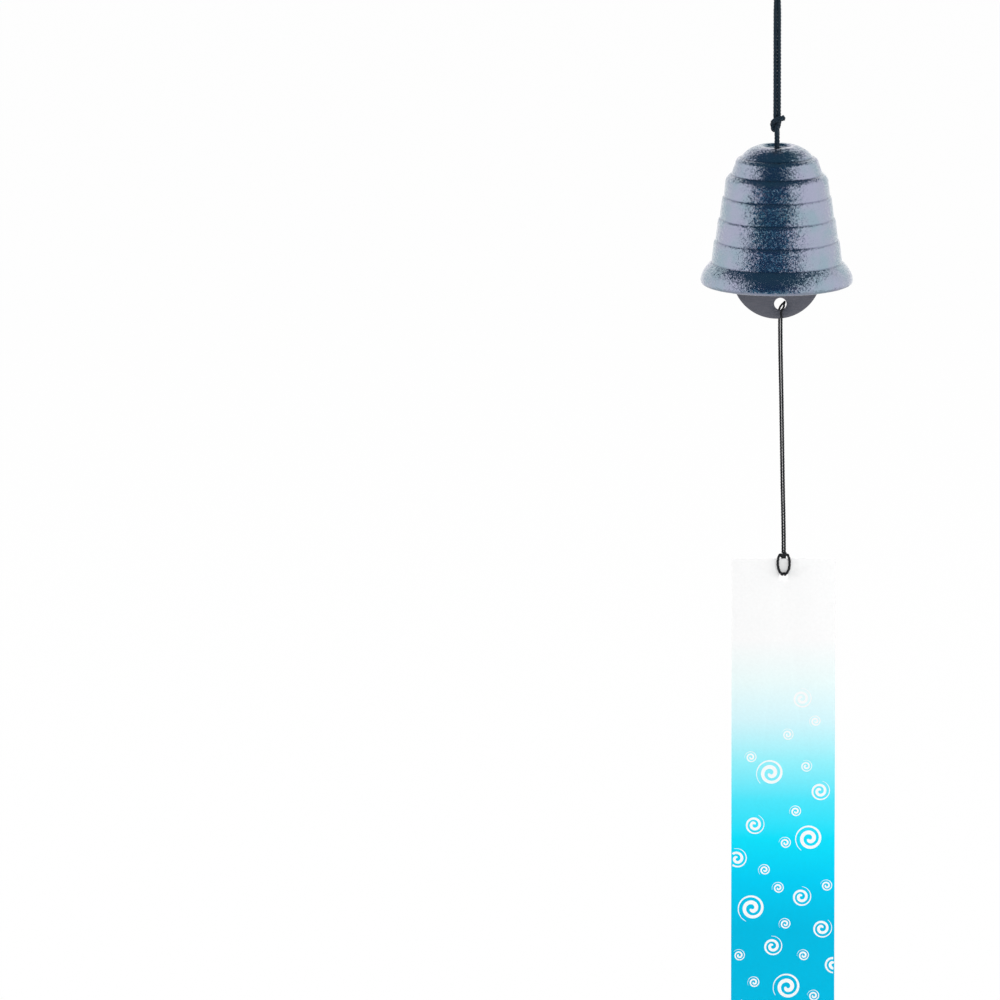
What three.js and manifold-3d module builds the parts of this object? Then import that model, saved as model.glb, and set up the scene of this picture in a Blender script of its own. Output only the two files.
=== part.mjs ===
// Cast wind bell on a doubled cord, with a round clapper and a paper strip hanging below it.
// Millimetres, +Z up. The origin is where the loop of the hanging cord rests on its hook.
import * as THREE from "three";
import { mergeVertices } from "three/addons/utils/BufferGeometryUtils.js";
import Module from "manifold-3d";

const wasm = await Module();
wasm.setup();

// Clearances
const seatGap = 0.3; // between pieces that rest on each other
const bendGap = 0.55; // above the stem, which bends under the knot
const swingGap = 0.45; // above the clapper's strands, which swing under the stop knot
const holeClearance = 0.55; // round the stem in the crown

// Hanging cord
const cordDiameter = 1.7;
const hookRadius = 3; // of the hook inside the loop
const bightDrop = 11.5; // from the hook down to the ends of the bight
const crownDrop = 78; // from the hook down to the crown
const knotRise = 5.4; // from the crown up to the hanging knot
const knotHeight = 8.4;
const knotRadius = 1.9;
const tailReach = 3.1; // from the cord's middle to the cut end beside the knot
const stemTurn = 70; // degrees that the pair of strands is turned below the knot
const stopHeight = 6;
const stopRadius = 2.6;

// Bell
const rimRadius = 33;
const lipEdge = 1.7; // rounding at the foot of the lip
const lipHeight = 9.7;
const lipBulge = 5.4; // height up to which the lip stays nearly upright
const waistRadius = 28.4; // at the top of the lip
const tierCount = 3; // equal tiers above the lip
const tierPitch = 9.65;
const tierStep = 1.77; // each tier's foot is this much narrower than the one below
const browStep = 0.85; // how far a tier stands out past the crease above it
const browHeight = 2.2;
const upperPitch = 9.7; // fourth tier
const upperRadius = 19.8;
const upperBrowStep = 2.6;
const upperBrowHeight = 4;
const topPitch = 7.3; // fifth tier
const topRadius = 15.5;
const topBrowStep = 2.6;
const topBrowHeight = 2.5;
const domeHeight = 4.9;
const crownRadius = 8;
const dishRadius = 6.2;
const dishDepth = 1;
const crownWall = 3;
const wall = 2.8;

// Clapper
const discRadius = 19.4;
const discThickness = 1.6;
const discEdge = 0.3; // rounding of its edges
const discRise = 3.9; // of its centre above the foot of the lip
const eyeRadius = 2.7;
const eyeOffset = 12.9; // of each hole from the centre
const eyeShift = 1.6; // the lower hole sits this far to the right
const spreadMargin = 3.5; // a bight keeps its legs apart this far past the disc's edge

// Strip and its cord
const stripCordDiameter = 1;
const stripLean = 1.7; // from the lower hole's middle across to the strip's
const bightLean = 1.65; // from the lower hole's middle across to where the cord passes through it
const bightRise = 3.55; // of the cord there above the foot of the hole
const stripWidth = 45;
const stripLength = 210;
const stripThickness = 0.5;
const stripDrop = 121.4; // from the foot of the lip down to the strip
const stripEyeRadius = 2.1;
const stripEyeDrop = 8.1; // from the strip's top edge to its hole
const stripLoopWidth = 5.1; // of the hitch, between the middles of its legs
const stripKnotRadius = 0.9;
const stripKnotHeight = 2.6;

// Heights and places worked out from the sizes above
const cordRadius = cordDiameter / 2;
const pairHalf = (cordDiameter + seatGap) / 2;
const knotBottom = knotRise - crownDrop;
const knotTop = knotBottom + knotHeight;
const stemTop = knotBottom - bendGap;
const ceilingZ = -crownDrop - dishDepth - crownWall;
const stopTop = ceilingZ - seatGap;
const stopBottom = stopTop - stopHeight;
const holeRadius = pairHalf + cordRadius + holeClearance;

const browTiers = [
  ...Array.from({ length: tierCount }, (_, i) => ({
    pitch: tierPitch,
    radius: waistRadius - (i + 1) * tierStep,
    step: browStep,
    brow: browHeight,
  })),
  { pitch: upperPitch, radius: upperRadius, step: upperBrowStep, brow: upperBrowHeight },
  { pitch: topPitch, radius: topRadius, step: topBrowStep, brow: topBrowHeight },
];
const shoulderHeight = lipHeight + tierCount * tierPitch;
const bellHeight = shoulderHeight + upperPitch + topPitch + domeHeight;
const lipZ = -crownDrop - bellHeight;

const discZ = lipZ + discRise;
const upperEyeTop = discZ + eyeOffset + eyeRadius;
const lowerEyeBottom = discZ - eyeOffset - eyeRadius;
const discTop = discZ + discRadius;
const discBottom = discZ - discRadius;

const stripCordRadius = stripCordDiameter / 2;
const stripX = eyeShift + stripLean;
const stripTop = lipZ - stripDrop;
const stripKnotZ = stripTop + seatGap + stripKnotHeight / 2;
const stripPairHalf = (stripCordDiameter + seatGap) / 2;

// Materials
const finish = (color, roughness, metalness) =>
  new THREE.MeshStandardMaterial({ color, roughness, metalness });
const castIron = finish(0x2b3644, 0.55, 0.6);
const plate = finish(0x46464c, 0.45, 0.5);
const braid = finish(0x1c2130, 0.9, 0);
const thread = finish(0x141517, 0.8, 0);
const paper = finish(0x8fdcf0, 0.9, 0);

const part = new THREE.Group();

// Adds a named mesh to the part
function add(name, geometry, material) {
  const mesh = new THREE.Mesh(geometry, material);
  mesh.name = name;
  part.add(mesh);
  return mesh;
}

const point = (x, y, z) => new THREE.Vector3(x, y, z);

// A closed geometry as a solid that can be joined to others
function solid(geometry) {
  const bare = geometry.clone();
  bare.deleteAttribute("normal");
  bare.deleteAttribute("uv");
  const merged = mergeVertices(bare, 1e-4);
  return new wasm.Manifold(
    new wasm.Mesh({
      numProp: 3,
      vertProperties: merged.attributes.position.array,
      triVerts: new Uint32Array(merged.index.array),
    }),
  );
}

// Several closed geometries joined into one
function joined(geometries) {
  const whole = geometries.map(solid).reduce((sum, next) => sum.add(next));
  const mesh = whole.getMesh();
  const geometry = new THREE.BufferGeometry();
  geometry.setAttribute("position", new THREE.BufferAttribute(mesh.vertProperties, 3));
  geometry.setIndex(new THREE.BufferAttribute(mesh.triVerts, 1));
  geometry.computeVertexNormals();
  return geometry;
}

// A profile of radius against height turned about the Z axis
function turned(profile, segments) {
  return new THREE.LatheGeometry(profile, segments).rotateX(Math.PI / 2);
}

// A straight stretch of cord with round ends that reach the two points
function strand(start, end, diameter) {
  const along = end.clone().sub(start);
  const straight = along.length() - diameter;
  const capsule = new THREE.CapsuleGeometry(diameter / 2, straight, 3, 8);
  const turn = new THREE.Quaternion().setFromUnitVectors(point(0, 1, 0), along.normalize());
  const middle = start.clone().add(end).multiplyScalar(0.5);
  return capsule.applyQuaternion(turn).translate(middle.x, middle.y, middle.z);
}

// A bent stretch of cord through the points
function bentCord(points, diameter, steps) {
  const section = new THREE.Shape().absarc(0, 0, diameter / 2, 0, 2 * Math.PI);
  const path = new THREE.CatmullRomCurve3(points);
  return new THREE.ExtrudeGeometry(section, { steps, curveSegments: 4, extrudePath: path });
}

// Points of an arch from the front leg to the back leg; rise is its height, negative for one that hangs.
// The front leg is shifted to the right and the back leg to the left, and the middle leans to the right.
function bendAround(x, z, radius, rise, shift, lean) {
  const count = 6;
  return Array.from({ length: count + 1 }, (_, i) => {
    const share = i / count;
    const angle = share * Math.PI;
    const across = x + shift * (1 - 2 * share) + lean * Math.sin(angle);
    return point(across, -radius * Math.cos(angle), z + rise * Math.sin(angle));
  });
}

// A barrel of gathered strands with two turns of the cord drawn round it, one each way
function knot(radius, height, turnDiameter, tiltDegrees) {
  const end = radius * 0.8;
  const barrel = new THREE.Path()
    .moveTo(0, -height / 2)
    .lineTo(end, -height / 2)
    .quadraticCurveTo(radius * 1.2, 0, end, height / 2)
    .lineTo(0, height / 2);
  const tilt = THREE.MathUtils.degToRad(tiltDegrees);
  const turns = [-1, 1].map((side) =>
    new THREE.TorusGeometry(radius, turnDiameter / 2, 8, 20)
      .rotateY(-side * tilt)
      .translate(0, 0, (side * height) / 6),
  );
  return [turned(barrel.getPoints(4), 16), ...turns];
}

function addHangingCord() {
  const bend = hookRadius + cordRadius;
  const leg = [
    point(pairHalf, 0, -bightDrop),
    point(pairHalf + 0.25, 0, -bightDrop + 2),
    point(bend - 0.75, 0, -2.1 * hookRadius),
    point(bend, 0, -hookRadius),
    point(bend * Math.SQRT1_2, 0, bend * Math.SQRT1_2 - hookRadius),
  ];
  const otherLeg = leg.map((p) => point(-p.x, p.y, p.z)).reverse();
  const bight = [...leg, point(0, 0, cordRadius), ...otherLeg];
  add("loop_bight", bentCord(bight, cordDiameter, 24), braid);

  const top = -bightDrop - seatGap;
  const bottom = knotTop + seatGap;
  for (const [side, x] of [["left", -pairHalf], ["right", pairHalf]]) {
    add(`loop_strand_${side}`, strand(point(x, 0, top), point(x, 0, bottom), cordDiameter), braid);
  }

  const tailZ = knotHeight * 0.32;
  const tail = strand(
    point(0, -cordRadius, tailZ - tailReach / 2),
    point(tailReach, -cordRadius, tailZ),
    cordDiameter * 1.2,
  );
  const knotSolid = joined([...knot(knotRadius, knotHeight, cordDiameter, 30), tail]);
  add("hanging_knot", knotSolid, braid).position.z = knotBottom + knotHeight / 2;
}

function addStem() {
  const turn = THREE.MathUtils.degToRad(stemTurn);
  const x = pairHalf * Math.cos(turn);
  const y = pairHalf * Math.sin(turn);
  for (const [side, sign] of [["front", -1], ["back", 1]]) {
    const upper = point(sign * x, sign * y, stemTop);
    const lower = point(sign * x, sign * y, stopTop + seatGap);
    add(`stem_strand_${side}`, strand(upper, lower, cordDiameter), braid);
  }
  const stop = joined(knot(stopRadius, stopHeight, cordDiameter, 20));
  add("stop_knot", stop, braid).position.z = stopBottom + stopHeight / 2;
}

// The bell's outside from the lip up to the crown, heights above the foot of the lip
function drawOutside(outline) {
  outline.lineTo(rimRadius - lipEdge, 0);
  outline.quadraticCurveTo(rimRadius, 0, rimRadius, lipEdge);
  outline.quadraticCurveTo(rimRadius, lipBulge, waistRadius, lipHeight);
  let crease = lipHeight;
  for (const tier of browTiers) {
    crease += tier.pitch;
    const browRadius = tier.radius + tier.step;
    outline.lineTo(browRadius, crease - tier.brow);
    outline.quadraticCurveTo(browRadius, crease - tier.brow / 3, tier.radius, crease);
  }
  const middle = (topRadius + crownRadius) / 2;
  outline.quadraticCurveTo(middle + domeHeight / 4, bellHeight - domeHeight / 4, crownRadius, bellHeight);
}

// The crown's dish, the cord hole and the inside down to the lip
function drawInside(outline) {
  const ceiling = bellHeight - dishDepth - crownWall;
  outline.lineTo(dishRadius, bellHeight);
  outline.lineTo(dishRadius - dishDepth, bellHeight - dishDepth);
  outline.lineTo(holeRadius, bellHeight - dishDepth);
  outline.lineTo(holeRadius, ceiling);
  outline.lineTo(stopRadius + cordDiameter, ceiling);
  const shoulderRadius = waistRadius - tierCount * tierStep - wall;
  outline.quadraticCurveTo(upperRadius - wall / 3, ceiling - wall / 2, shoulderRadius, shoulderHeight);
  outline.lineTo(waistRadius - wall, lipHeight);
  outline.quadraticCurveTo(rimRadius - wall - lipEdge / 2, lipBulge, rimRadius - wall - lipEdge / 2, 0);
}

function addBell() {
  const outline = new THREE.Path().moveTo(rimRadius - wall - lipEdge / 2, 0);
  drawOutside(outline);
  drawInside(outline);
  add("bell", turned(outline.getPoints(4), 48), castIron).position.z = lipZ;
}

function addClapper() {
  const outline = new THREE.Shape().absarc(0, 0, discRadius - discEdge, 0, 2 * Math.PI);
  for (const [x, z] of [[0, eyeOffset], [eyeShift, -eyeOffset]]) {
    outline.holes.push(new THREE.Path().absarc(x, z, eyeRadius + discEdge, 0, 2 * Math.PI));
  }
  const disc = new THREE.ExtrudeGeometry(outline, {
    depth: discThickness - 2 * discEdge,
    bevelThickness: discEdge,
    bevelSize: discEdge,
    bevelSegments: 1,
    curveSegments: 20,
  });
  disc.translate(0, 0, discEdge - discThickness / 2).rotateX(Math.PI / 2);
  add("clapper_disc", disc, plate).position.z = discZ;

  const legY = discThickness / 2 + seatGap + cordRadius;
  const spreadZ = discTop + spreadMargin;
  const bend = bendAround(0, upperEyeTop, legY, -legY, 0, 0);
  const ends = [point(0, -legY, spreadZ), point(0, legY, spreadZ)];
  add("clapper_bight", bentCord([ends[0], ...bend, ends[1]], cordDiameter, 24), braid);
  for (const [side, sign] of [["front", -1], ["back", 1]]) {
    const upper = point(0, sign * pairHalf, stopBottom - swingGap);
    const lower = point(0, sign * legY, spreadZ + seatGap);
    add(`clapper_strand_${side}`, strand(upper, lower, cordDiameter), braid);
  }
}

function addStripCord() {
  const legY = discThickness / 2 + seatGap + stripCordRadius;
  const spreadZ = discBottom - spreadMargin;
  const bend = bendAround(eyeShift, lowerEyeBottom, legY, bightRise, stripPairHalf, bightLean);
  const sides = [["front", -1], ["back", 1]];
  const ends = sides.map(([, sign]) => point(eyeShift - sign * stripPairHalf, sign * legY, spreadZ));
  add("strip_bight", bentCord([ends[0], ...bend, ends[1]], stripCordDiameter, 24), thread);
  const knotTopZ = stripKnotZ + stripKnotHeight / 2;
  for (const [side, sign] of sides) {
    const across = -sign * stripPairHalf;
    const upper = point(eyeShift + across, sign * legY, spreadZ - seatGap);
    const lower = point(stripX + across, 0, knotTopZ + seatGap);
    add(`strip_strand_${side}`, strand(upper, lower, stripCordDiameter), thread);
  }
}

function addStripHitch() {
  const knotSolid = joined(knot(stripKnotRadius, stripKnotHeight, stripCordDiameter, 25));
  add("strip_knot", knotSolid, thread).position.set(stripX, 0, stripKnotZ);

  const legY = stripThickness / 2 + seatGap + stripCordRadius;
  const knotSide = stripKnotRadius + stripCordRadius + seatGap;
  const eyeZ = stripTop - stripEyeDrop;
  const throughZ = eyeZ + stripEyeRadius / 2;
  for (const [side, sign] of [["left", -1], ["right", 1]]) {
    const at = (x, y, z) => point(stripX + sign * x, y, z);
    const route = [
      at(knotSide, 0, stripKnotZ),
      at(knotSide + stripCordRadius, -legY * 0.7, stripKnotZ - 0.9),
      at(stripLoopWidth / 2, -legY, stripTop - stripEyeDrop * 0.3),
      at(stripLoopWidth * 0.36, -legY, throughZ + 1.6),
      at(stripPairHalf + 0.15, -legY * 0.8, throughZ + 0.1),
      at(stripPairHalf, 0, throughZ),
      at(stripPairHalf, legY, throughZ + 0.9),
      at(stripPairHalf, legY, stripTop - stripEyeDrop * 0.4),
      at(stripPairHalf, legY, stripTop),
    ];
    add(`strip_loop_${side}`, bentCord(route, stripCordDiameter, 32), thread);
  }
}

function addStrip() {
  const half = stripWidth / 2;
  const outline = new THREE.Shape();
  outline.moveTo(-half, 0);
  outline.lineTo(-half, -stripLength);
  outline.lineTo(half, -stripLength);
  outline.lineTo(half, 0);
  outline.closePath();
  outline.holes.push(new THREE.Path().absarc(0, -stripEyeDrop, stripEyeRadius, 0, 2 * Math.PI));
  const sheet = new THREE.ExtrudeGeometry(outline, {
    depth: stripThickness,
    bevelEnabled: false,
    curveSegments: 12,
  });
  sheet.translate(0, 0, -stripThickness / 2).rotateX(Math.PI / 2);
  add("paper_strip", sheet, paper).position.set(stripX, 0, stripTop);
}

addHangingCord();
addStem();
addBell();
addClapper();
addStripCord();
addStripHitch();
addStrip();

export default part;
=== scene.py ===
# Looks of the cast wind bell: the casting, its cords, the clapper and the printed paper strip.
# Metres, +Z up, with the origin where the loop of the cord rests on its hook.
import math

import bmesh
import bpy
import numpy as np
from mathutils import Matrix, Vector, noise


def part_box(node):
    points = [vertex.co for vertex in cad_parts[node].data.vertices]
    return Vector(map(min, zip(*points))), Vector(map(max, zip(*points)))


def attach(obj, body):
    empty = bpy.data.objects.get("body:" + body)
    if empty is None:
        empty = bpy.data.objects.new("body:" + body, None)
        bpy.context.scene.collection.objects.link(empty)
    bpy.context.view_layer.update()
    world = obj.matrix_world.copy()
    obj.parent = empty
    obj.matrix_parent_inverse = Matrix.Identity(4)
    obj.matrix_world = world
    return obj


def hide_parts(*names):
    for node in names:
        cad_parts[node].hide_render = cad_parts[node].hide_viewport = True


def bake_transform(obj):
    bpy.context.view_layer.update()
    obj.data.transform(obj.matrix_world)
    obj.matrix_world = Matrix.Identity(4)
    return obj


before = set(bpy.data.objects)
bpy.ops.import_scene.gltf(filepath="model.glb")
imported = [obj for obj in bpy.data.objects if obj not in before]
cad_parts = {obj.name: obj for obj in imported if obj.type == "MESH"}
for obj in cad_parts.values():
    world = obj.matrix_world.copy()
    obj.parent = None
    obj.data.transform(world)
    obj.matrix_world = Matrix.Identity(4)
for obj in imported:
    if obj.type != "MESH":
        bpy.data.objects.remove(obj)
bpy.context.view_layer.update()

# Camera, at the photograph's view of the whole bell
frame_width = 0.434  # what the picture spans at the bell's axis
view_elevation = math.radians(10.75)
lens_length = 800.0  # millimetres on the sensor below
sensor_width = 36.0
axis_pixel = 776.2  # column of the bell's axis
lip_pixel = 283.7  # row of the foot of the lip
picture_size = 1000

# Hanging cord
cord_diameter = 0.0017
cord_step = cord_diameter / 5  # along the mesh of a strand
turn_step = cord_diameter / 6  # along the mesh of a knot's turns
pair_half = 0.0008  # half the distance between the two strands, which touch
hook_radius = 0.003
bight_drop = 0.0115  # from the hook down to where the strands meet
stem_turn = math.radians(70)  # of the pair under its knot

# Strip cord
thread_diameter = 0.001
thread_step = thread_diameter / 3  # along the mesh of a strand
thread_turn_step = thread_diameter / 4  # along the mesh of the knot's turns and the loop
thread_half = 0.0005  # half the distance between its two strands, which touch
leg_gap = 0.0003  # between a cord and the plate that it hangs on
spread_margin = 0.0035  # past the disc's edge, where the strands start to close in

# Casting, heights above the foot of the lip
rim_radius = 0.033
lip_edge = 0.0017
lip_height = 0.0097
lip_bulge = 0.0054
waist_radius = 0.0284
tier_count = 3
tier_pitch = 0.00965
tier_step = 0.00177
brow_step = 0.00085
brow_height = 0.0022
upper_tier = {"pitch": 0.0097, "radius": 0.0198, "step": 0.0026, "brow": 0.004}
top_tier = {"pitch": 0.0073, "radius": 0.0155, "step": 0.0026, "brow": 0.0025}
dome_height = 0.0049
crown_radius = 0.008
dish_radius = 0.0062
dish_depth = 0.001
crown_wall = 0.003
hole_radius = 0.0024
ceiling_radius = 0.0043
wall = 0.0028

# Skin of the casting
outline_step = 0.0003  # between the rings of its mesh
casting_segments = 600
# Painted shade: how far the darkening of each crease spreads above and below it
crease_shade_width = 0.0003
casting_grains = [(0.009, 0.00006), (0.003, 0.00003), (0.0011, 0.000012)]  # their size and height

# Clapper and strip
disc_edge = 0.0003  # rounding of its rims
disc_sides = 160
eye_sides = 48
eye_radius = 0.0027  # of the disc's two holes
eye_offset = 0.0129  # from the disc's middle up and down to them
eye_shift = 0.0016  # of the lower one to the right
strip_lean = 0.0017  # from the lower hole's middle across to the strip's
bight_lean = 0.0019  # from the lower hole's middle across to where the cord passes through it
bight_rise = 0.00355  # of the cord there above the foot of the hole
strip_x = eye_shift + strip_lean
strip_edge = 0.0001  # rounding of its rims
strip_eye_radius = 0.0021
strip_eye_drop = 0.0081
strip_loop_width = 0.0051
strip_loop_diameter = 0.0012  # the thin cord swells a little where it is slack
ink_film = 0.00003

# Printed curls: across from the strip's middle, down from its top edge, radius and turn in degrees
large, medium, small = 0.0064, 0.0046, 0.0028
curls = [
    (0.008, 0.062, medium, 60),
    (0.014, 0.072, small, 200),
    (0.002, 0.078, small, 120),
    (-0.014, 0.088, small, 150),
    (-0.0055, 0.095, large, 190),
    (0.01, 0.092, small, 80),
    (0.016, 0.103, medium, 40),
    (0.0055, 0.112, small, 170),
    (-0.0125, 0.118, medium, 30),
    (0.001, 0.126, small, 140),
    (0.0115, 0.124, large, 200),
    (-0.02, 0.133, medium, 70),
    (-0.008, 0.138, small, 190),
    (-0.002, 0.146, small, 160),
    (0.019, 0.145, small, 130),
    (0.008, 0.15, medium, 50),
    (-0.0135, 0.155, large, 210),
    (0.001, 0.162, small, 180),
    (0.017, 0.164, medium, 20),
    (-0.0045, 0.172, medium, 60),
    (0.009, 0.176, small, 150),
    (0.022, 0.18, medium, 40),
    (-0.019, 0.176, small, 110),
    (-0.0125, 0.188, small, 170),
    (0.002, 0.19, large, 180),
    (0.0135, 0.194, small, 140),
    (-0.02, 0.2, medium, 30),
    (-0.008, 0.203, small, 190),
    (0.017, 0.206, large, 200),
]

# Places in the frame
bell_low, bell_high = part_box("bell")
disc_low, disc_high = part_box("clapper_disc")
knot_low, knot_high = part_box("hanging_knot")
stop_low, stop_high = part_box("stop_knot")
strip_low, strip_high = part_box("paper_strip")
hitch_low, hitch_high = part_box("strip_knot")
lip_z = bell_low.z
disc_z = (disc_low.z + disc_high.z) / 2
disc_half = (disc_high.y - disc_low.y) / 2
strip_half = (strip_high.y - strip_low.y) / 2


# Node helpers

def new_material(name):
    """A material with a bare principled shader, and its node tree."""
    material = bpy.data.materials.new(name)
    material.use_nodes = True
    return material, material.node_tree, material.node_tree.nodes["Principled BSDF"]


def noise_node(tree, scale, detail=3.0, stretch=(1, 1, 1)):
    """Noise in object space with about that many features a metre."""
    place = tree.nodes.new("ShaderNodeTexCoord")
    mapping = tree.nodes.new("ShaderNodeMapping")
    mapping.inputs["Scale"].default_value = stretch
    texture = tree.nodes.new("ShaderNodeTexNoise")
    texture.inputs["Scale"].default_value = scale
    texture.inputs["Detail"].default_value = detail
    tree.links.new(place.outputs["Object"], mapping.inputs["Vector"])
    tree.links.new(mapping.outputs["Vector"], texture.inputs["Vector"])
    return texture.outputs["Fac"]


def ramp_node(tree, value, stops):
    """A colour ramp over a value; each stop is a place and a linear colour."""
    ramp = tree.nodes.new("ShaderNodeValToRGB")
    elements = ramp.color_ramp.elements
    while len(elements) < len(stops):
        elements.new(0.5)
    for element, (place, colour) in zip(elements, stops):
        element.position = place
        element.color = (*colour, 1)
    tree.links.new(value, ramp.inputs["Fac"])
    return ramp.outputs["Color"]


def range_node(tree, value, low, high, from_low=0.3, from_high=0.7):
    """A value moved from one range to another."""
    node = tree.nodes.new("ShaderNodeMapRange")
    node.inputs["From Min"].default_value = from_low
    node.inputs["From Max"].default_value = from_high
    node.inputs["To Min"].default_value = low
    node.inputs["To Max"].default_value = high
    tree.links.new(value, node.inputs["Value"])
    return node.outputs["Result"]


def multiply_node(tree, first, second):
    """Two colours multiplied."""
    mix = tree.nodes.new("ShaderNodeMix")
    mix.data_type = "RGBA"
    mix.blend_type = "MULTIPLY"
    mix.inputs["Factor"].default_value = 1
    tree.links.new(first, mix.inputs["A"])
    tree.links.new(second, mix.inputs["B"])
    return mix.outputs["Result"]


def bump_node(tree, shader, height, distance):
    """Bump of the given depth in metres on a shader."""
    bump = tree.nodes.new("ShaderNodeBump")
    bump.inputs["Distance"].default_value = distance
    tree.links.new(height, bump.inputs["Height"])
    tree.links.new(bump.outputs["Normal"], shader.inputs["Normal"])
    return bump.outputs["Normal"]


def tilt_grains(tree, shader, normal, scale, tilt):
    """Grains on a shader, about that many a metre, each tilted its own way from a normal."""
    place = tree.nodes.new("ShaderNodeTexCoord")
    cells = tree.nodes.new("ShaderNodeTexVoronoi")
    cells.inputs["Scale"].default_value = scale
    lean = tree.nodes.new("ShaderNodeVectorMath")
    lean.operation = "MULTIPLY_ADD"
    lean.inputs[1].default_value = (2 * tilt, 2 * tilt, 2 * tilt)
    lean.inputs[2].default_value = (-tilt, -tilt, -tilt)
    total = tree.nodes.new("ShaderNodeVectorMath")
    even = tree.nodes.new("ShaderNodeVectorMath")
    even.operation = "NORMALIZE"
    tree.links.new(place.outputs["Object"], cells.inputs["Vector"])
    tree.links.new(cells.outputs["Color"], lean.inputs[0])
    tree.links.new(lean.outputs["Vector"], total.inputs[0])
    tree.links.new(normal, total.inputs[1])
    tree.links.new(total.outputs["Vector"], even.inputs[0])
    tree.links.new(even.outputs["Vector"], shader.inputs["Normal"])


# Materials

def casting_material():
    """Blue-black finish over sand-cast grain, with painted shade that darkens the creases."""
    material, tree, shader = new_material("casting")
    shader.inputs["Metallic"].default_value = 0.96
    patches = noise_node(tree, scale=90, detail=4)
    tint = ramp_node(tree, patches, [
        (0.35, (0.19, 0.25, 0.3)),
        (0.5, (0.22, 0.25, 0.315)),
        (0.65, (0.235, 0.245, 0.325)),
    ])
    # Painted shade: the crease value darkens the colour in the creases
    crease = tree.nodes.new("ShaderNodeAttribute")
    crease.attribute_name = "crease"
    shade = ramp_node(tree, crease.outputs["Fac"], [(0, (1, 1, 1)), (1, (0.65, 0.65, 0.7))])
    tree.links.new(multiply_node(tree, tint, shade), shader.inputs["Base Color"])
    grain = range_node(tree, noise_node(tree, scale=1900), low=0, high=1)
    roughness = range_node(tree, grain, low=0.1, high=0.18, from_low=0, from_high=1)
    tree.links.new(roughness, shader.inputs["Roughness"])
    skin = bump_node(tree, shader, grain, distance=0.00006)
    tilt_grains(tree, shader, skin, scale=1700, tilt=0.15)
    return material


def plate_material():
    """Smooth dark grey satin with faint rolling marks."""
    material, tree, shader = new_material("plate")
    shader.inputs["Metallic"].default_value = 0.3
    marks = noise_node(tree, scale=300, detail=4, stretch=(1, 1, 6))
    tone = ramp_node(tree, marks, [(0.3, (0.14, 0.133, 0.158)), (0.7, (0.175, 0.168, 0.195))])
    tree.links.new(tone, shader.inputs["Base Color"])
    tree.links.new(range_node(tree, marks, low=0.42, high=0.55), shader.inputs["Roughness"])
    bump_node(tree, shader, marks, distance=0.00001)
    return material


def yarn_material(name, dark, light):
    """Matt yarn whose fibres vary between two colours."""
    material, tree, shader = new_material(name)
    shader.inputs["Sheen Weight"].default_value = 0.05
    shader.inputs["Sheen Roughness"].default_value = 0.4
    shader.inputs["Specular IOR Level"].default_value = 0.3
    fibre = noise_node(tree, scale=4000, detail=2)
    tree.links.new(ramp_node(tree, fibre, [(0.35, dark), (0.65, light)]), shader.inputs["Base Color"])
    tree.links.new(range_node(tree, fibre, low=0.6, high=0.8), shader.inputs["Roughness"])
    bump_node(tree, shader, fibre, distance=0.00005)
    return material


def paper_material():
    """White card that fades to sky blue and then to a deeper blue."""
    material, tree, shader = new_material("paper")
    shader.inputs["Specular IOR Level"].default_value = 0.05
    place = tree.nodes.new("ShaderNodeTexCoord")
    split = tree.nodes.new("ShaderNodeSeparateXYZ")
    tree.links.new(place.outputs["Object"], split.inputs["Vector"])
    down = range_node(tree, split.outputs["Z"], low=0, high=1, from_low=strip_high.z, from_high=strip_low.z)
    wash = ramp_node(tree, down, [
        (0.17, (0.945, 0.945, 0.945)),
        (0.26, (0.82, 0.95, 0.95)),
        (0.34, (0.65, 0.91, 0.96)),
        (0.43, (0.29, 0.87, 0.96)),
        (0.51, (0.075, 0.79, 0.96)),
        (0.59, (0.005, 0.74, 0.96)),
        (0.68, (0.001, 0.61, 0.9)),
        (0.78, (0.001, 0.5, 0.77)),
    ])
    fibre = noise_node(tree, scale=900, detail=4)
    tone = ramp_node(tree, fibre, [(0.3, (0.97, 0.97, 0.97)), (0.7, (1, 1, 1))])
    tree.links.new(multiply_node(tree, wash, tone), shader.inputs["Base Color"])
    tree.links.new(range_node(tree, fibre, low=0.75, high=0.9), shader.inputs["Roughness"])
    bump_node(tree, shader, fibre, distance=0.00002)
    return material


def ink_material():
    """White printing ink with a slight unevenness."""
    material, tree, shader = new_material("ink")
    spread = noise_node(tree, scale=1500)
    tone = ramp_node(tree, spread, [(0.3, (0.91, 0.94, 0.94)), (0.7, (0.95, 0.955, 0.955))])
    tree.links.new(tone, shader.inputs["Base Color"])
    tree.links.new(range_node(tree, spread, low=0.6, high=0.75), shader.inputs["Roughness"])
    return material


# Mesh helpers

def unit(vectors):
    """Vectors of length 1 in the same directions."""
    return vectors / np.linalg.norm(vectors, axis=-1, keepdims=True)


def distances(points):
    """How far each point lies along a path from its first one."""
    return np.r_[0, np.cumsum(np.linalg.norm(np.diff(points, axis=0), axis=1))]


def points_at(path, places):
    """The points at the given distances along a path."""
    along = distances(path)
    return np.stack([np.interp(places, along, column) for column in path.T], axis=1)


def smooth_path(points, step):
    """Even steps along a smooth curve through the points."""
    points = np.array(points, float)
    chord = distances(points)
    slope = np.gradient(points, chord, axis=0)
    fine_count = 4 * int(chord[-1] / step) + 8  # several for each even step
    fine = np.linspace(0, chord[-1], fine_count)
    i = np.clip(np.searchsorted(chord, fine, side="right") - 1, 0, len(points) - 2)
    span = (chord[i + 1] - chord[i])[:, None]
    t = (fine - chord[i])[:, None] / span
    curve = points[i] * (2 * t**3 - 3 * t**2 + 1) + points[i + 1] * (3 * t**2 - 2 * t**3)
    curve += span * (slope[i] * (t**3 - 2 * t**2 + t) + slope[i + 1] * (t**3 - t**2))
    length = distances(curve)[-1]
    return points_at(curve, np.linspace(0, length, max(2, round(length / step) + 1)))


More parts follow.
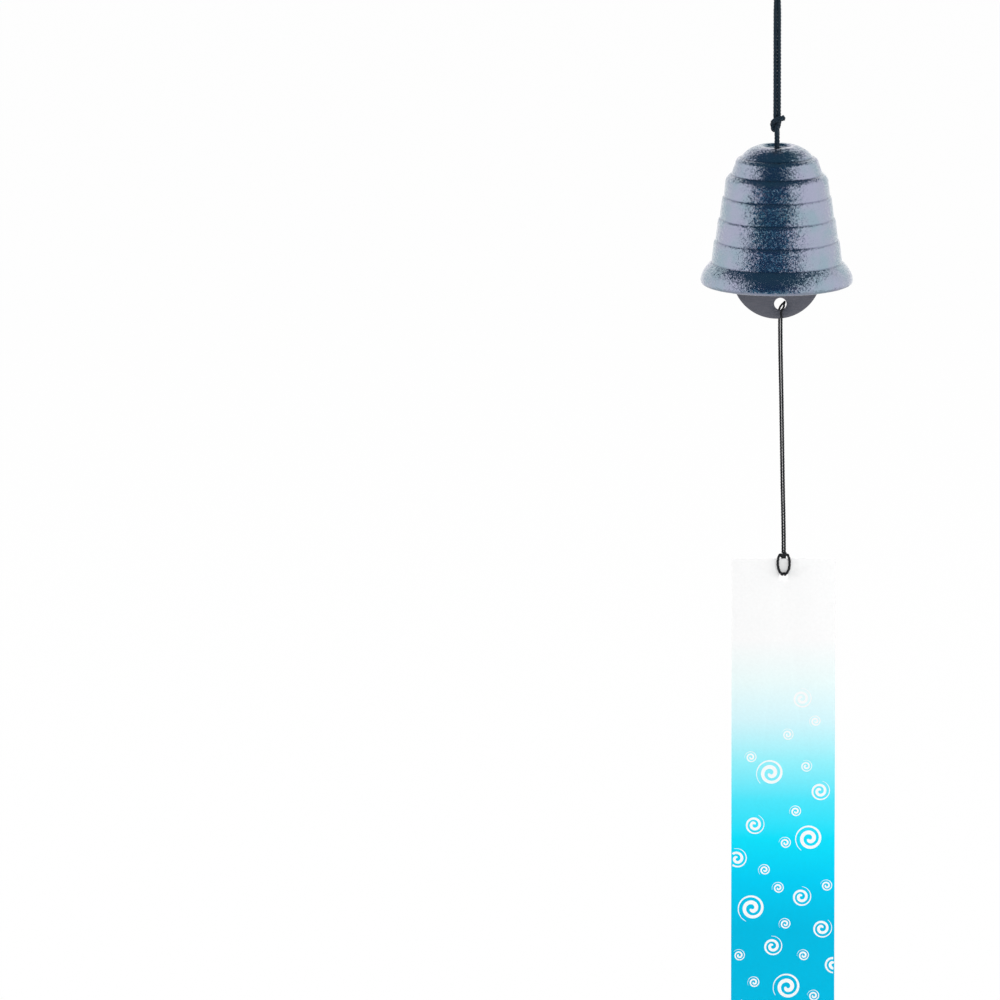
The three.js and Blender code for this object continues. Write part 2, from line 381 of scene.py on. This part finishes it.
def side_directions(path):
    """Two directions square to the path at each point, turning as little as they can."""
    tangent = unit(np.gradient(path, axis=0))
    first = np.empty_like(path)
    guess = np.eye(3)[np.argmin(np.abs(tangent[0]))]
    for i, along in enumerate(tangent):
        guess = guess - along * guess.dot(along)
        guess = guess / np.linalg.norm(guess)
        first[i] = guess
    return first, np.cross(tangent, first)


def tube(path, radius, sides):
    """Points and faces of a closed round tube."""
    first, second = side_directions(path)
    angle = np.arange(sides) * 2 * math.pi / sides
    ring = first[:, None] * np.cos(angle)[:, None] + second[:, None] * np.sin(angle)[:, None]
    points = path[:, None] + ring * radius
    faces = []
    for i in range(len(path) - 1):
        for j in range(sides):
            k = (j + 1) % sides
            faces.append((i * sides + j, i * sides + k, (i + 1) * sides + k, (i + 1) * sides + j))
    last = (len(path) - 1) * sides
    faces.append(tuple(range(sides))[::-1])
    faces.append(tuple(range(last, last + sides)))
    return points.reshape(-1, 3), faces


def wound(path, radius, turns_per_metre, start):
    """A path that winds round another one; radius is one value or one for each point."""
    first, second = side_directions(path)
    angle = start + 2 * math.pi * turns_per_metre * distances(path)
    reach = np.broadcast_to(radius, len(path))[:, None]
    return path + reach * (first * np.cos(angle)[:, None] + second * np.sin(angle)[:, None])


def braid(path, diameter):
    """Yarns that wind both ways round a core, each passing over and under the others."""
    carriers = 4  # yarns that wind each way
    pitch = 3.6 * diameter
    core_radius = 0.42 * diameter
    yarn_radius = 0.17 * diameter
    yarn_reach = 0.35 * diameter  # from the cord's middle to a yarn's
    yarn_lift = 0.04 * diameter  # where a yarn passes over or under another
    waves = np.cos(2 * math.pi * carriers * distances(path) / pitch)
    parts = [tube(path, core_radius, sides=10)]
    for way in (1, -1):
        for k in range(carriers):
            start = 2 * math.pi * k / carriers
            yarn = wound(path, yarn_reach + way * yarn_lift * waves, way / pitch, start)
            parts.append(tube(yarn, yarn_radius, sides=6))
    return parts


def twist(path, diameter):
    """Plies laid together as a rope."""
    plies = 3
    pitch = 4 * diameter
    ply_radius = 0.27 * diameter
    ply_reach = 0.23 * diameter  # from the rope's middle to a ply's
    parts = []
    for k in range(plies):
        ply = wound(path, ply_reach, 1 / pitch, 2 * math.pi * k / plies)
        parts.append(tube(ply, ply_radius, sides=8))
    return parts


def add_piece(name, parts, material, body, slot, *nodes):
    """One object made of several closed shells, in place of its nodes."""
    points = []
    faces = []
    for part_points, part_faces in parts:
        start = sum(map(len, points))
        points.append(part_points)
        faces.extend(tuple(start + i for i in face) for face in part_faces)
    mesh = bpy.data.meshes.new(name)
    mesh.from_pydata(np.concatenate(points).tolist(), [], faces)
    mesh.shade_smooth()
    return place_mesh(name, mesh, material, body, slot, *nodes)


def place_mesh(name, mesh, material, body, slot, *nodes):
    """A mesh as a piece in place of its nodes, on one body, or fixed where it stands when it is given two.
    """
    mesh.materials.append(material)
    piece = bpy.data.objects.new(name, mesh)
    bpy.context.scene.collection.objects.link(piece)
    if isinstance(body, dict):
        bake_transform(piece)
    else:
        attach(piece, body)
    if nodes:
        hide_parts(*nodes)
    return piece


def circle(x, z, radius, count):
    """Points of a circle in the XZ plane."""
    angle = np.arange(count) * 2 * math.pi / count
    return [(x + radius * math.cos(a), z + radius * math.sin(a)) for a in angle]


def plate_mesh(name, loops, half, edge):
    """A flat plate about the XZ plane: the first loop is its outline, the others are holes."""
    rim_angle = math.radians(57)  # only the rims are sharper than this
    smooth_angle = math.radians(35)
    mesh = bpy.data.meshes.new(name)
    shape = bmesh.new()
    edges = []
    for loop in loops:
        corners = [shape.verts.new((x, -half, z)) for x, z in loop]
        edges += [shape.edges.new((a, b)) for a, b in zip(corners, corners[1:] + corners[:1])]
    filled = bmesh.ops.triangle_fill(shape, edges=edges, use_beauty=True)
    faces = [f for f in filled["geom"] if isinstance(f, bmesh.types.BMFace)]
    raised = bmesh.ops.extrude_face_region(shape, geom=faces)
    moved = [v for v in raised["geom"] if isinstance(v, bmesh.types.BMVert)]
    bmesh.ops.translate(shape, verts=moved, vec=(0, 2 * half, 0))
    bmesh.ops.recalc_face_normals(shape, faces=shape.faces)
    rims = [e for e in shape.edges if e.calc_face_angle(0) > rim_angle]
    bmesh.ops.bevel(shape, geom=rims, offset=edge, segments=2, profile=0.6, affect="EDGES")
    shape.to_mesh(mesh)
    shape.free()
    mesh.shade_smooth()
    mesh.set_sharp_from_angle(angle=smooth_angle)
    return mesh


# Camera

def add_camera():
    """A long lens at the photograph's angle, placed so that the bell sits where it does there."""
    scale = frame_width / picture_size
    drop = (picture_size / 2 - lip_pixel) * scale / math.cos(view_elevation)
    target = Vector(((picture_size / 2 - axis_pixel) * scale, 0, lip_z - drop))
    away = Vector((0, -math.cos(view_elevation), math.sin(view_elevation)))
    data = bpy.data.cameras.new("camera")
    data.sensor_width = sensor_width
    data.lens = lens_length
    camera = bpy.data.objects.new("camera", data)
    camera.location = target + away * frame_width * lens_length / sensor_width
    camera.rotation_euler = (-away).to_track_quat("-Z", "Y").to_euler()
    bpy.context.scene.collection.objects.link(camera)
    bpy.context.scene.camera = camera


# Cords


def bend_points(x, z, radius, rise, shift=0.0, lean=0.0):
    """A half circle from the front leg to the back one, which lie apart and lean right as they rise."""
    count = 8
    way = math.copysign(1, rise)
    points = []
    for i in range(count + 1):
        angle = i * math.pi / count
        height = rise - way * radius + way * radius * math.sin(angle)
        across = x + shift * (1 - 2 * i / count) ** 3 + lean * height / rise
        points.append((across, -radius * math.cos(angle), z + height))
    return points


def add_hanging_cord(yarn):
    """The doubled cord from the knot over the hook and back."""
    bend = hook_radius + cord_diameter / 2
    tuck = 0.0015  # of each strand into the knot
    leg = [
        (pair_half, 0, knot_high.z - tuck),
        (pair_half, 0, -0.05),
        (pair_half, 0, -0.035),
        (pair_half, 0, -0.02),
        (pair_half, 0, -bight_drop),
        (pair_half + 0.00025, 0, 0.002 - bight_drop),
        (bend - 0.00075, 0, -2.1 * hook_radius),
        (bend, 0, -hook_radius),
        (bend * math.sqrt(0.5), 0, bend * math.sqrt(0.5) - hook_radius),
    ]
    other = [(-x, y, z) for x, y, z in reversed(leg)]
    path = smooth_path([*leg, (0, 0, cord_diameter / 2), *other], cord_step)
    nodes = ("loop_bight", "loop_strand_left", "loop_strand_right")
    bodies = {"above": "hook_loop", "below": "hanging_cord", "from": -0.0095, "to": -0.016}
    cord = add_piece("hanging_cord", braid(path, cord_diameter), yarn, bodies, "braid", *nodes)


def wrap_path(centre, radius, turns, tilt, rise, start):
    """Turns of cord drawn round a bundle, tilted and climbing."""
    points_per_turn = 24
    count = int(points_per_turn * turns) + 1
    points = []
    for i in range(count):
        angle = start + 2 * math.pi * turns * i / (count - 1)
        x = radius * math.cos(angle)
        z = x * math.tan(tilt) + rise * (i / (count - 1) - 0.5)
        points.append((centre[0] + x, centre[1] + radius * math.sin(angle), centre[2] + z))
    return points


def add_hanging_knot(yarn):
    """An overhand knot: the pair runs up through one drawn turn, whose cut end stands out to the right."""
    middle = (knot_low.z + knot_high.z) / 2
    half = (knot_high.z - knot_low.z) / 2
    x = pair_half * math.cos(stem_turn)
    y = pair_half * math.sin(stem_turn)
    front = [
        (-x, -y, -half),
        (-0.0002, -y, -0.002),
        (0.0002, -y, 0),
        (0.0006, -y / 2, 0.002),
        (pair_half, 0, half),
    ]
    back = [
        (x, y, -half),
        (0.0001, y, -0.002),
        (-0.0002, y * 0.8, 0),
        (-0.0007, y / 3, 0.002),
        (-pair_half, 0, half),
    ]
    turn = [
        (0.003, -0.0009, 0.00275),
        (0.0019, -0.0015, 0.0025),
        (0.0006, -0.00195, 0.00215),
        (-0.0007, -0.0018, 0.00175),
        (-0.00155, -0.0011, 0.0011),
        (-0.00175, -0.0002, 0.0001),
        (-0.00172, 0.0003, -0.0011),
        (-0.0014, 0.0005, -0.0024),
        (-0.0009, 0.0008, -0.0029),
        (-0.0001, 0.0014, -0.0022),
        (0.0004, 0.0016, -0.0011),
        (0.00065, 0.0012, 0.0001),
        (0.0006, 0.0005, 0.0011),
        (0.0002, 0.0001, 0.0019),
    ]
    thick = 1.35 * cord_diameter  # the drawn turn is slack and swells
    parts = []
    for route, diameter in ((front, cord_diameter), (back, cord_diameter), (turn, thick)):
        placed = [(a, b, middle + c) for a, b, c in route]
        parts += braid(smooth_path(placed, turn_step), diameter)
    add_piece("hanging_knot_turns", parts, yarn, "hanging_cord", "braid", "hanging_knot")


def add_stem(yarn):
    """The pair from the knot down through the crown to the stop knot."""
    parts = []
    for side in (-1, 1):
        x = side * pair_half * math.cos(stem_turn)
        y = side * pair_half * math.sin(stem_turn)
        route = [
            (x * 0.8, y * 0.8, knot_low.z + 0.001),
            (x, y, knot_low.z - 0.001),
            (x, y, -0.076),
            (x, y, -0.079),
            (x, y, stop_high.z + 0.0002),
            (x, y, stop_high.z - 0.001),
        ]
        parts += braid(smooth_path(route, cord_step), cord_diameter)
    bodies = {"above": "hanging_cord", "below": "stem", "from": -0.0728, "to": -0.0755}
    add_piece("stem", parts, yarn, bodies, "braid", "stem_strand_front", "stem_strand_back")


def add_stop_knot(yarn):
    """The knot inside the bell that carries it."""
    core_diameter = 0.0036
    core_inset = 0.0002
    core_step = 0.0003
    middle = (stop_low.z + stop_high.z) / 2
    heights = (stop_low.z + core_inset, middle, stop_high.z - core_inset)
    core = smooth_path([(0, 0, z) for z in heights], core_step)
    tilt = math.radians(16)
    turns = wrap_path((0, 0, middle), radius=0.0024, turns=2.5, tilt=tilt, rise=0.0022, start=0.4)
    parts = [*braid(core, core_diameter), *braid(smooth_path(turns, turn_step), cord_diameter)]
    add_piece("stop_knot_turns", parts, yarn, "stop_knot", "braid", "stop_knot")


def add_clapper_cord(yarn):
    """The doubled cord from the stop knot through the clapper's upper hole."""
    leg = disc_half + leg_gap + cord_diameter / 2
    eye_top = disc_z + eye_offset + eye_radius
    down = [
        (0, -pair_half, stop_low.z + 0.0004),
        (0, -pair_half * 1.1, stop_low.z - 0.003),
        (0, -(pair_half + leg) / 2, (stop_low.z + disc_high.z) / 2),
        (0, -leg, disc_high.z + spread_margin),
        (0, -leg, disc_high.z),
    ]
    up = [(x, -y, z) for x, y, z in reversed(down)]
    path = smooth_path([*down, *bend_points(0, eye_top, leg, -leg), *up], cord_step)
    nodes = ("clapper_bight", "clapper_strand_front", "clapper_strand_back")
    cord = add_piece("clapper_cord", braid(path, cord_diameter), yarn, "clapper", "braid", *nodes)


def add_strip_cord(thread):
    """The doubled thin cord from the strip's knot through the clapper's lower hole and back."""
    leg = disc_half + leg_gap + thread_diameter / 2
    eye_bottom = disc_z - eye_offset - eye_radius
    spread_z = disc_low.z - spread_margin
    knot_z = hitch_high.z
    down = [
        (0, 1, eye_bottom),
        (0, 1, disc_low.z),
        (0, 1, spread_z),
        (1 / 3, 2 / 3, spread_z * 2 / 3 + knot_z / 3),
        (2 / 3, 1 / 3, spread_z / 3 + knot_z * 2 / 3),
        (1, 0, knot_z + 0.0008),
        (1, 0, knot_z - 0.0004),
    ]
    front = [(eye_shift + strip_lean * a + thread_half, -leg * b, z) for a, b, z in reversed(down)]
    back = [(eye_shift + strip_lean * a - thread_half, leg * b, z) for a, b, z in down]
    bend = bend_points(eye_shift, eye_bottom, leg, bight_rise, thread_half, bight_lean)
    path = smooth_path([*front, *bend, *back], thread_step)
    nodes = ("strip_bight", "strip_strand_front", "strip_strand_back")
    cord = add_piece("strip_cord", twist(path, thread_diameter), thread, "strip_cord", "thread", *nodes)


def add_strip_knot(thread):
    """The small knot on the strip's top edge."""
    core_diameter = 0.0014
    core_step = 0.0002
    middle = (hitch_low.z + hitch_high.z) / 2
    core = smooth_path([(strip_x, 0, z) for z in (hitch_low.z, middle, hitch_high.z)], core_step)
    tilt = math.radians(22)
    turns = wrap_path((strip_x, 0, middle), radius=0.0009, turns=1.9, tilt=tilt, rise=0.001, start=0.3)
    turns = smooth_path(turns, thread_turn_step)
    parts = [*twist(core, core_diameter), *twist(turns, strip_loop_diameter)]
    add_piece("strip_knot_turns", parts, thread, "strip_knot", "thread", "strip_knot")


def add_strip_loop(thread):
    """The two sides of the loop from the strip's knot through its hole and up behind it."""
    leg = strip_half + leg_gap + thread_diameter / 2
    knot_side = 0.0017
    middle = (hitch_low.z + hitch_high.z) / 2
    through = strip_high.z - strip_eye_drop + strip_eye_radius / 2
    parts = []
    for side in (-1, 1):
        route = [
            (knot_side - 0.0008, 0.0, middle + 0.0001),
            (knot_side, 0.0, middle),
            (knot_side + thread_diameter / 2, -leg * 0.7, middle - 0.0009),
            (strip_loop_width / 2, -leg, strip_high.z - strip_eye_drop * 0.3),
            (strip_loop_width * 0.36, -leg, through + 0.0016),
            (thread_half + 0.00015, -leg * 0.8, through + 0.0001),
            (thread_half, 0.0, through),
            (thread_half, leg, through + 0.0009),
            (thread_half, leg, strip_high.z - strip_eye_drop * 0.4),
            (thread_half, leg, strip_high.z),
            (thread_half, leg * 0.6, hitch_low.z + 0.0004),
        ]
        path = smooth_path([(strip_x + side * x, y, z) for x, y, z in route], thread_turn_step)
        parts += twist(path, strip_loop_diameter)
    add_piece("strip_hitch", parts, thread, "strip", "thread", "strip_loop_left", "strip_loop_right")


# Casting

def curve_points(start, control, end, count=24):
    """A quadratic curve, without its first point."""
    t = np.linspace(0, 1, count + 1)[1:, None]
    start, control, end = (np.array(p) for p in (start, control, end))
    return start * (1 - t) ** 2 + control * 2 * t * (1 - t) + end * t**2


def casting_tiers():
    """The tiers above the lip, from the lowest to the highest."""
    tiers = []
    for i in range(tier_count):
        radius = waist_radius - (i + 1) * tier_step
        tiers.append({"pitch": tier_pitch, "radius": radius, "step": brow_step, "brow": brow_height})
    return [*tiers, upper_tier, top_tier]


def casting_outline():
    """Radius and height round the casting's section, and the heights of its creases."""
    height = bell_high.z - bell_low.z
    lip_inside = rim_radius - wall - lip_edge / 2
    points = [(lip_inside, 0), (rim_radius - lip_edge, 0)]
    points += [*curve_points(points[-1], (rim_radius, 0), (rim_radius, lip_edge))]
    points += [*curve_points(points[-1], (rim_radius, lip_bulge), (waist_radius, lip_height))]
    creases = [lip_height]
    for tier in casting_tiers():
        crease = creases[-1] + tier["pitch"]
        brow = tier["radius"] + tier["step"]
        points.append((brow, crease - tier["brow"]))
        points += [*curve_points(points[-1], (brow, crease - tier["brow"] / 3), (tier["radius"], crease))]
        creases.append(crease)
    bulge = ((top_tier["radius"] + crown_radius) / 2 + dome_height / 4, height - dome_height / 4)
    points += [*curve_points(points[-1], bulge, (crown_radius, height))]
    ceiling = height - dish_depth - crown_wall
    points += [(dish_radius, height), (dish_radius - dish_depth, height - dish_depth)]
    points += [(hole_radius, height - dish_depth), (hole_radius, ceiling), (ceiling_radius, ceiling)]
    shoulder = lip_height + tier_count * tier_pitch
    inner = (waist_radius - tier_count * tier_step - wall, shoulder)
    points += [*curve_points(points[-1], (upper_tier["radius"] - wall / 3, ceiling - wall / 2), inner)]
    points.append((waist_radius - wall, lip_height))
    points += [*curve_points(points[-1], (lip_inside, lip_bulge), (lip_inside, 0))]
    return np.array(points), creases


def even_outline(points, step):
    """The outline in even steps, closed."""
    length = distances(points)[-1]
    return points_at(points, np.linspace(0, length, round(length / step) + 1)[:-1])


def turned(outline, foot):
    """An outline turned about the bell's axis, as one ring for each of its points."""
    angle = np.arange(casting_segments) * 2 * math.pi / casting_segments
    rings = np.empty((len(outline), casting_segments, 3))
    rings[:, :, 0] = outline[:, :1] * np.cos(angle)
    rings[:, :, 1] = outline[:, :1] * np.sin(angle)
    rings[:, :, 2] = foot + outline[:, 1:]
    return rings.reshape(-1, 3)


def ring_faces(count):
    """Faces between neighbouring rings, of which the last one joins the first."""
    rings = np.arange(count)[:, None] * casting_segments
    above = np.roll(rings, -1, axis=0)
    here = np.arange(casting_segments)[None]
    after = (here + 1) % casting_segments
    return np.stack([rings + here, rings + after, above + after, above + here], axis=2).reshape(-1, 4)


def grain_height(point):
    """How far the sand-cast skin stands out at a point."""
    place = Vector(point)
    return sum(height * noise.noise(place / size) for size, height in casting_grains)


def add_casting(material):
    """The turned casting with its grain."""
    outline, creases = casting_outline()
    outline = even_outline(outline, outline_step)
    along = np.roll(outline, -1, axis=0) - np.roll(outline, 1, axis=0)
    normal = unit(np.stack([along[:, 1], -along[:, 0]], axis=1))
    points = turned(outline, lip_z)
    height = np.array([grain_height(p) for p in points])
    points = points + turned(normal, 0) * height[:, None]
    mesh = bpy.data.meshes.new("casting")
    mesh.from_pydata(points.tolist(), [], ring_faces(len(outline)).tolist())
    mesh.shade_smooth()
    # Painted shade in the creases of the outside
    paint_crease_shade(mesh, outline, creases)
    place_mesh("casting", mesh, material, "bell", "casting", "bell")


def paint_crease_shade(mesh, outline, creases):
    """Painted shade: a value on each point that is 1 in a crease of the outside and 0 away from it, which
    darkens the casting's colour there.
    """
    depth = np.zeros(len(outline))
    outside = np.arange(len(outline)) < np.argmax(outline[:, 1])
    for crease in creases:
        depth = np.maximum(depth, np.exp(-(((outline[:, 1] - crease) / crease_shade_width) ** 2)) * outside)
    layer = mesh.attributes.new("crease", "FLOAT", "POINT")
    layer.data.foreach_set("value", np.repeat(depth, casting_segments).astype(np.float32))


# Clapper and strip

def add_disc(material):
    """The clapper's plate with its upper and lower hole."""
    radius = (disc_high.x - disc_low.x) / 2
    loops = [
        circle(0, disc_z, radius, disc_sides),
        circle(0, disc_z + eye_offset, eye_radius, eye_sides),
        circle(eye_shift, disc_z - eye_offset, eye_radius, eye_sides),
    ]
    mesh = plate_mesh("disc", loops, disc_half, disc_edge)
    place_mesh("disc", mesh, material, "clapper", "plate", "clapper_disc")


def add_strip(material):
    """The card with the hole that it hangs by."""
    outline = [
        (strip_low.x, strip_high.z),
        (strip_low.x, strip_low.z),
        (strip_high.x, strip_low.z),
        (strip_high.x, strip_high.z),
    ]
    eye = circle(strip_x, strip_high.z - strip_eye_drop, strip_eye_radius, eye_sides)
    mesh = plate_mesh("card", [outline, eye], strip_half, strip_edge)
    card = place_mesh("card", mesh, material, "strip", "paper", "paper_strip")


def curl_stroke(x, z, radius, start):
    """Middle line and half width of a printed curl, broad in the middle and fine at its outer end."""
    turns = 2.1
    inner = 0.12  # where the curl starts, as a share of its radius
    broad = 0.135  # half its width where it is broadest, as a share of its radius
    count = 60
    t = np.linspace(0, 1, count)
    angle = start + 2 * math.pi * turns * t
    reach = radius * (inner + (1 - inner) * t)
    swell = np.clip(6 * t + 0.4, 0, 1)
    taper = np.clip(1.1 - t**2, 0.12, 1)
    half = radius * broad * taper * swell
    aim = np.stack([np.cos(angle), np.sin(angle)], axis=1)
    return np.array((x, z)) + reach[:, None] * aim, half[:, None] * aim


def stroke_runs(middle, half):
    """The stretches of a stroke that lie on the card, each of three points or more."""
    low = np.array((strip_low.x, strip_low.z))
    high = np.array((strip_high.x, strip_high.z))
    on = ((middle - abs(half) > low) & (middle + abs(half) < high)).all(axis=1)
    cuts = np.flatnonzero(np.diff(np.r_[False, on, False]))
    return [slice(a, b) for a, b in cuts.reshape(-1, 2) if b - a >= 3]


def ribbon(middle, half, front, back):
    """A closed flat stroke between two Y planes."""
    corners = [(middle - half, front), (middle + half, front), (middle + half, back), (middle - half, back)]
    rings = [np.stack([p[:, 0], np.full(len(p), y), p[:, 1]], axis=1) for p, y in corners]
    faces = []
    for i in range(len(middle) - 1):
        for j in range(4):
            k = (j + 1) % 4
            faces.append((4 * i + j, 4 * i + k, 4 * i + 4 + k, 4 * i + 4 + j))
    faces.append((3, 2, 1, 0))
    faces.append(tuple(4 * (len(middle) - 1) + j for j in range(4)))
    return np.stack(rings, axis=1).reshape(-1, 3), faces


def add_print(ink):
    """Curls scattered down the card, closer together lower down."""
    centre = (strip_low.x + strip_high.x) / 2
    parts = []
    for across, down, radius, turn in curls:
        middle, half = curl_stroke(centre + across, strip_high.z - down, radius, math.radians(turn))
        for run in stroke_runs(middle, half):
            parts.append(ribbon(middle[run], half[run], -strip_half - ink_film, -strip_half))
    add_piece("strip_print", parts, ink, "strip", "paper").data.shade_flat()


# Stage

def background_mix(tree, seen, lit):
    """A strength that is one value to the camera and in reflections, and another as light."""
    path = tree.nodes.new("ShaderNodeLightPath")
    total = path.outputs["Is Camera Ray"]
    for name in ("Is Glossy Ray", "Is Transmission Ray"):
        larger = tree.nodes.new("ShaderNodeMath")
        larger.operation = "MAXIMUM"
        tree.links.new(total, larger.inputs[0])
        tree.links.new(path.outputs[name], larger.inputs[1])
        total = larger.outputs["Value"]
    return range_node(tree, total, low=lit, high=seen, from_low=0, from_high=1)


def add_world():
    """A white background that lights the bell softly from all round."""
    world = bpy.data.worlds.new("studio")
    world.use_nodes = True
    tree = world.node_tree
    background = tree.nodes["Background"]
    background.inputs["Color"].default_value = (1, 1, 1, 1)
    tree.links.new(background_mix(tree, seen=1, lit=0.45), background.inputs["Strength"])
    bpy.context.scene.world = world


def add_floor():
    """A white floor below the strip, which shows the soft shadow a little."""
    size = 6
    drop = 0.06  # below the strip's foot
    height = strip_low.z - drop
    mesh = bpy.data.meshes.new("floor")
    corners = [(-size, -size), (size, -size), (size, size), (-size, size)]
    mesh.from_pydata([(x, y, height) for x, y in corners], [], [(0, 1, 2, 3)])
    material, tree, shader = new_material("floor")
    shader.inputs["Base Color"].default_value = (0.85, 0.85, 0.85, 1)
    shader.inputs["Roughness"].default_value = 0.9
    glow = tree.nodes.new("ShaderNodeEmission")
    mix = tree.nodes.new("ShaderNodeMixShader")
    tree.links.new(background_mix(tree, seen=0.98, lit=0), mix.inputs["Fac"])
    tree.links.new(shader.outputs["BSDF"], mix.inputs[1])
    tree.links.new(glow.outputs["Emission"], mix.inputs[2])
    tree.links.new(mix.outputs["Shader"], tree.nodes["Material Output"].inputs["Surface"])
    mesh.materials.append(material)
    floor = bpy.data.objects.new("floor", mesh)
    bpy.context.scene.collection.objects.link(floor)


def round_point(turn, rise):
    """A direction from its azimuth and elevation; azimuth 0 is in front and positive is to the right."""
    return Vector((math.sin(turn) * math.cos(rise), -math.cos(turn) * math.cos(rise), math.sin(rise)))


def arch_point(side, roll):
    """A direction from its angle to the side and its angle over the top, from front to back."""
    return Vector((math.sin(side), -math.cos(side) * math.cos(roll), math.cos(side) * math.sin(roll)))


def add_screen(name, aim, first, second, radius, colour):
    """A patch of a round screen about the bell, between two pairs of angles, which only reflections see."""
    columns, rows = 24, 12
    points = []
    for b in np.radians(np.linspace(*second, rows + 1)):
        for a in np.radians(np.linspace(*first, columns + 1)):
            points.append(Vector((0, 0, lip_z)) + radius * aim(a, b))
    faces = []
    for i in range(rows):
        for j in range(columns):
            k = i * (columns + 1) + j
            faces.append((k, k + 1, k + columns + 2, k + columns + 1))
    mesh = bpy.data.meshes.new(name)
    mesh.from_pydata(points, [], faces)
    mesh.materials.append(glow_material(name, colour))
    screen = bpy.data.objects.new(name, mesh)
    screen.visible_camera = False
    screen.visible_diffuse = False
    screen.visible_transmission = False
    screen.visible_shadow = False
    bpy.context.scene.collection.objects.link(screen)


def glow_material(name, colour):
    """An even glow, whose light reaches the bell by reflection alone."""
    material, tree, shader = new_material(name)
    tree.nodes.remove(shader)
    material.cycles.emission_sampling = "NONE"
    glow = tree.nodes.new("ShaderNodeEmission")
    glow.inputs["Color"].default_value = (*colour, 1)
    tree.links.new(glow.outputs["Emission"], tree.nodes["Material Output"].inputs["Surface"])
    return material


def add_screens():
    """What the metal reflects: a dark blue gap in front and overhead, and white round the rest."""
    near, far = 1.1, 1.2
    gap = (-54, 34)  # azimuths in degrees
    side_end = 115  # azimuth where the sides meet the back
    foot, horizon, brow, top = -50, -8, 38, 75  # elevations
    white = (1.65, 1.65, 1.65)
    add_screen("front_gap", round_point, gap, (horizon, brow), near, (0.004, 0.065, 0.16))
    add_screen("front_low", round_point, gap, (foot, horizon), near, (0.08, 0.48, 0.66))
    add_screen("canopy", arch_point, (-50, 40), (brow, 135), near, (0.02, 0.1, 0.17))
    add_screen("left_screen", round_point, (-side_end, gap[0]), (foot, top), far, white)
    add_screen("right_screen", round_point, (gap[1], side_end), (foot, top), far, white)
    add_screen("back_screen", round_point, (side_end, 360 - side_end), (foot, 45), far, (1.4, 1.4, 1.4))
    add_screen("low_screen", round_point, (-180, 180), (-90, foot), far, (3.5, 3.5, 3.5))


def add_lamp(name, azimuth, elevation, distance, width, height, power):
    """A soft lamp that faces the bell."""
    data = bpy.data.lights.new(name, "AREA")
    data.shape = "RECTANGLE"
    data.size = width
    data.size_y = height
    data.energy = power
    lamp = bpy.data.objects.new(name, data)
    away = round_point(math.radians(azimuth), math.radians(elevation))
    lamp.location = Vector((0, 0, lip_z)) + away * distance
    lamp.rotation_euler = (-away).to_track_quat("-Z", "Y").to_euler()
    lamp.visible_glossy = False
    bpy.context.scene.collection.objects.link(lamp)


def add_lamps():
    """A lamp on each side, one high in front and one high behind."""
    side = {"elevation": 10, "distance": 1.3, "width": 0.9, "height": 1.4, "power": 9}
    high = {"elevation": 45, "distance": 1.8, "width": 1.2, "height": 1.2}
    add_lamp("left_lamp", azimuth=-85, **side)
    add_lamp("right_lamp", azimuth=80, **side)
    add_lamp("front_lamp", azimuth=15, power=14.5, **high)
    add_lamp("back_lamp", azimuth=195, power=14, **high)


add_camera()
braid_yarn = yarn_material("braid", dark=(0.002, 0.007, 0.012), light=(0.013, 0.03, 0.05))
black_thread = yarn_material("thread", dark=(0.004, 0.004, 0.005), light=(0.02, 0.02, 0.023))
add_hanging_cord(braid_yarn)
add_hanging_knot(braid_yarn)
add_stem(braid_yarn)
add_stop_knot(braid_yarn)
add_clapper_cord(braid_yarn)
add_strip_cord(black_thread)
add_strip_knot(black_thread)
add_strip_loop(black_thread)
add_casting(casting_material())
add_disc(plate_material())
add_strip(paper_material())
add_print(ink_material())
add_world()
add_floor()
add_screens()
add_lamps()
bpy.context.scene.view_settings.view_transform = "Standard"
